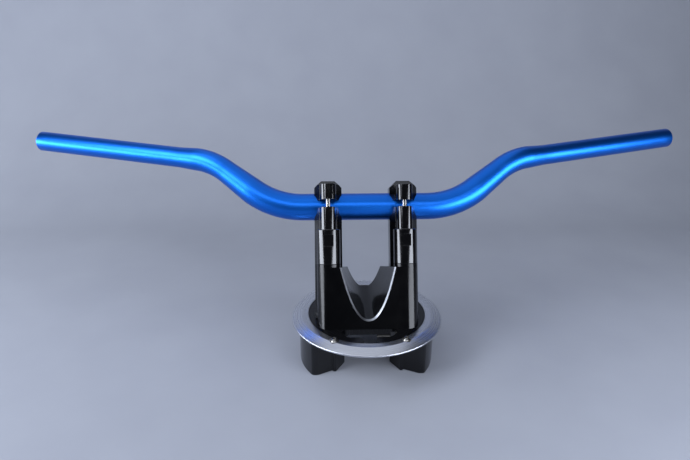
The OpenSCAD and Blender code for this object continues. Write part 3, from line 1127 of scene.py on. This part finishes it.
    def seated(
        self,
        screw: bpy.types.Object,
        seats: Sequence[Vector],
        lean: float,
        tree: bpy.types.NodeTree,
        material: bpy.types.Material,
        name: str,
    ) -> bpy.types.Object:
        """Sets one screw on every seat.

        Args:
            screw: the master screw, which is removed.
            seats: where the heads sit, in metres.
            lean: the screws' turn about X in radians.
            tree: the tree from place_tree.
            material: the screws' material.
            name: the name of the finished piece.

        Returns:
            All the screws as one plain mesh object.
        """
        points = bpy.data.meshes.new(name + "_seats")
        points.from_pydata([tuple(p) for p in seats], [], [])
        raw = mesh_object(name + "_seats", points)
        self.with_inputs(raw, tree, {"Screw": screw, "Lean": lean, "Material": material})
        bpy.context.view_layer.update()
        out = baked(raw, name)
        bpy.data.objects.remove(screw)
        shade(out.data)
        return out

    def socket_screw(self) -> bpy.types.Mesh:
        """Turns an M6 socket-head screw without its thread.

        Returns:
            The mesh: the head sits on Z = 0 and the shank points down.
        """
        end, root_r, plain_r, plain_l = -self.cap_screw_l, 2.5, 2.95, 9.0
        head_r, head_h, flats, socket_z = 5.0, 6.0, 5.0, 3.0
        rings = [
            circle(1.2, end), circle(root_r - 0.5, end), circle(root_r, end + 0.6),
            circle(root_r, -plain_l), circle(plain_r, 0.6 - plain_l), circle(plain_r, -0.3),
            circle(3.2, 0.0), circle(head_r - 0.2, 0.0), circle(head_r, 0.2),
            circle(head_r, head_h - 0.6), circle(head_r - 0.15, head_h - 0.2),
            circle(head_r - 0.5, head_h), circle(3.15, head_h), hexagon(flats, head_h - 0.25),
            hexagon(flats, socket_z), circle(2.2, socket_z), circle(0.3, socket_z - 0.6),
        ]
        return lathe("m6_screw", rings, self.turned_sides)

    def button_screw(self) -> bpy.types.Mesh:
        """Turns an M5 button-head screw.

        Returns:
            The mesh: the head sits on Z = 0 and the shank points down.
        """
        head_r, head_h, socket_r, flats, socket_h = 4.75, 2.75, 1.85, 3.0, 1.8
        dome_r = (head_r**2 + head_h**2) / (2 * head_h)
        low = dome_r - head_h
        edge, steps = 0.12, 8
        dome = []
        for i in range(steps + 1):
            r = head_r - edge - (head_r - edge - socket_r - edge) * i / steps
            dome.append(circle(r, math.sqrt(dome_r**2 - r**2) - low))
        top = math.sqrt(dome_r**2 - socket_r**2) - low
        rings = [
            circle(1.4, -8.0), circle(2.2, -7.6), circle(2.45, -7.0), circle(2.45, 0.0),
            circle(head_r - 0.15, 0.0), circle(head_r, edge), *dome,
            hexagon(flats, top - 0.15), hexagon(flats, head_h - socket_h),
            circle(1.2, head_h - socket_h), circle(0.2, head_h - socket_h - 0.4),
        ]
        return lathe("m5_button_screw", rings, self.turned_sides)

    def stop_pieces(
        self, nodes: dict[str, bpy.types.Object], thread: bpy.types.NodeTree,
        painted_shade_stainless: bpy.types.Material, dark: bpy.types.Material,
    ) -> None:
        """Builds the stop screw with its thread, and its lock nut and washer.

        Args:
            nodes: the CAD nodes by name.
            thread: the tree from thread_tree.
            painted_shade_stainless: stainless steel drawn darker, as painted shade of the recess
                that it sits in.
            dark: the black oxide material.
        """
        root_r, end = 2.5, self.stop_l
        rings = [
            circle(1.6, 0.0), circle(2.1, 0.0), circle(root_r, 0.5), circle(root_r, end - 0.5),
            circle(2.0, end), circle(0.5, end),
        ]
        mesh = lathe("stop_screw_threaded", rings, self.turned_sides)
        wound = Thread(crest_r=3.0, pitch=1.0, depth=0.52, length=end - 1.4, start=0.7)
        screw = self.threaded(mesh, thread, painted_shade_stainless, wound)
        tip = Vector(self.stop_tip) * MM
        screw.data.transform(Matrix.Translation(tip) @ Matrix.Rotation(math.pi / 2, 4, "Y"))
        shade(screw.data)
        finish_piece(screw, painted_shade_stainless, ["stop_screw"])
        nut = eased_copy(nodes["stop_nut"], "stop_nut_eased", self.nut_ease)
        finish_piece(nut, dark, ["stop_nut"])
        washer = eased_copy(nodes["stop_washer"], "stop_washer_eased", self.washer_ease)
        finish_piece(washer, painted_shade_stainless, ["stop_washer"])

    def dress(self, nodes: dict[str, bpy.types.Object]) -> None:
        """Builds the fasteners and gives them their finishes.

        Args:
            nodes: the CAD nodes by name.
        """
        bright = self.stainless.build("stainless_steel")
        dark = self.black.build("black_oxide_steel")
        thread, place = self.thread_tree(), self.place_tree()
        length = self.cap_screw_l
        wound = Thread(crest_r=3.0, pitch=1.0, depth=0.52, length=length - 9.6, start=0.6 - length)
        screw = self.threaded(self.socket_screw(), thread, bright, wound)
        seats = [leaning((x, y, BAR_HEIGHT + z)) for x, y, z in self.cap_seats]
        caps = self.seated(screw, seats, -LEAN, place, bright, "cap_screws")
        finish_piece(
            caps, bright,
            [f"cap_screw_{s}_{e}" for s in ("left", "right") for e in ("front", "rear")],
        )
        wound = Thread(crest_r=2.5, pitch=0.8, depth=0.4, length=6.0, start=-7.4)
        button = self.threaded(self.button_screw(), thread, bright, wound)
        turn = math.radians(self.ring_screw_deg)
        across, along = math.sin(turn) * self.ring_screw_r, math.cos(turn) * self.ring_screw_r
        seats = [
            Vector((side.value * across, end * along, self.ring_band_z)) * MM
            for side in Side for end in (-1, 1)
        ]
        buttons = self.seated(button, seats, 0.0, place, bright, "ring_screws")
        finish_piece(
            buttons, bright,
            [f"ring_screw_{e}_{s}" for e in ("front", "rear") for s in ("left", "right")],
        )
        # The stop screw and washer take the darker stainless, which is painted shade of the recess.
        self.stop_pieces(nodes, thread, self.painted_shade_stainless.build("dull_stainless_steel"), dark)
        hidden = {
            "riser_bolt_left_front": dark, "riser_bolt_left_rear": dark,
            "riser_bolt_right_front": dark, "riser_bolt_right_rear": dark,
            "riser_washers": bright, "block_screws": dark,
            "foot_screws_left": dark, "foot_screws_right": dark,
        }
        for name, material in hidden.items():
            mesh = nodes[name].data
            mesh.materials.clear()
            mesh.materials.append(material)
            LOG.info("%s keeps its CAD shape", name)


# ---------------------------------------------------------------- studio


@dataclass
class Lamp:
    name: str
    direction: Point
    distance: float
    width: float
    height: float
    radiance: float
    target: Point = (0.0, 0.02, 0.12)
    tint: str = "#EAF1FF"

    def build(self) -> None:
        """Adds the light, turned towards its target."""
        data = bpy.data.lights.new(self.name, "AREA")
        data.shape = "RECTANGLE"
        data.size, data.size_y = self.width, self.height
        data.energy = self.radiance * math.pi * self.width * self.height
        data.color = linear(self.tint)[:3]
        lamp = bpy.data.objects.new(self.name, data)
        bpy.context.scene.collection.objects.link(lamp)
        aim = Vector(self.direction).normalized()
        lamp.location = Vector(self.target) + aim * self.distance
        lamp.rotation_euler = aim.to_track_quat("Z", "Y").to_euler()
        LOG.info("lamp %s at %s", self.name, tuple(round(c, 2) for c in lamp.location))


@dataclass
class Studio:
    """Floor, backdrop, lights, world and camera."""

    camera_place: Point = (-0.047679, -0.594170, 0.392648)
    camera_turn: Point = (67.42317, -0.26608, -2.21902)
    lens: float = 33.2307
    sensor: float = 36.0
    paper: Paper = Paper("#90939C", "#9B9EA6")
    world: str = "#2C2E33"
    bend_start: float = 0.35
    bend_r: float = 0.45
    bend_steps: int = 24
    floor_front: float = 2.5
    half_width: float = 3.0
    wall_top: float = 3.0
    lamps: tuple[Lamp, ...] = (
        Lamp("left_panel", (-0.98, -0.18, 0.09), 1.2, 1.2, 0.36, 11.0),
        Lamp("left_middle_panel", (-0.72, -0.4, 0.57), 1.0, 0.45, 0.4, 10.0),
        Lamp("right_panel", (0.74, -0.65, 0.13), 0.8, 0.74, 0.34, 10.0),
        Lamp("high_panel", (-0.5, -0.1, 0.86), 1.0, 0.5, 0.6, 1.5),
        Lamp("front_panel", (0.0, -0.7, 0.71), 1.3, 1.2, 0.4, 2.6),
        Lamp("back_panel", (0.0, 0.75, 0.66), 1.1, 1.6, 0.4, 0.4),
        Lamp("top_panel", (0.0, 0.2, 0.98), 1.1, 1.0, 1.4, 0.7),
    )

    def build_stage(self) -> None:
        """Builds the floor and the backdrop as one smooth sweep."""
        line = [(-self.floor_front, 0.0), (self.bend_start, 0.0)]
        for i in range(1, self.bend_steps + 1):
            a = math.pi / 2 * i / self.bend_steps
            line.append(
                (self.bend_start + self.bend_r * math.sin(a), self.bend_r * (1 - math.cos(a)))
            )
        line.append((self.bend_start + self.bend_r, self.wall_top))
        mesh = bpy.data.meshes.new("studio_sweep")
        verts = [(x, y, z) for y, z in line for x in (-self.half_width, self.half_width)]
        faces = [(2 * i, 2 * i + 1, 2 * i + 3, 2 * i + 2) for i in range(len(line) - 1)]
        mesh.from_pydata(verts, [], faces)
        mesh.shade_smooth()
        sweep = mesh_object("studio_sweep", mesh)
        mesh.materials.append(self.paper.build("studio_paper"))

    def build_world(self) -> None:
        """Gives the world its dim, even light."""
        world = bpy.data.worlds.new("studio_world")
        world.use_nodes = True
        tree = world.node_tree
        tree.nodes.clear()
        sky = add(tree, "ShaderNodeBackground", {"Color": linear(self.world), "Strength": 1.0})
        add(tree, "ShaderNodeOutputWorld", links={"Surface": sky.outputs[0]})
        bpy.context.scene.world = world

    def build_camera(self) -> None:
        """Adds the camera at the photograph's place and angle."""
        data = bpy.data.cameras.new("photo_camera")
        data.lens = self.lens
        data.sensor_width = self.sensor
        data.clip_start = 0.01
        camera = bpy.data.objects.new("photo_camera", data)
        bpy.context.scene.collection.objects.link(camera)
        camera.location = self.camera_place
        camera.rotation_euler = [math.radians(a) for a in self.camera_turn]
        bpy.context.scene.camera = camera

    def build(self) -> None:
        """Builds the whole studio."""
        self.build_camera()
        self.build_stage()
        self.build_world()
        for lamp in self.lamps:
            lamp.build()
        bpy.context.scene.view_settings.view_transform = "Standard"


def main() -> None:
    """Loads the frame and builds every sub-assembly in order."""
    logging.basicConfig(level=logging.INFO, format="%(name)s %(message)s")
    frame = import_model()
    nodes = frame["nodes"]
    Studio().build()
    Handlebar().dress()
    Milled().dress(nodes)
    Base().dress(nodes)
    Fasteners().dress(nodes)


if __name__ == "__main__":
    main()
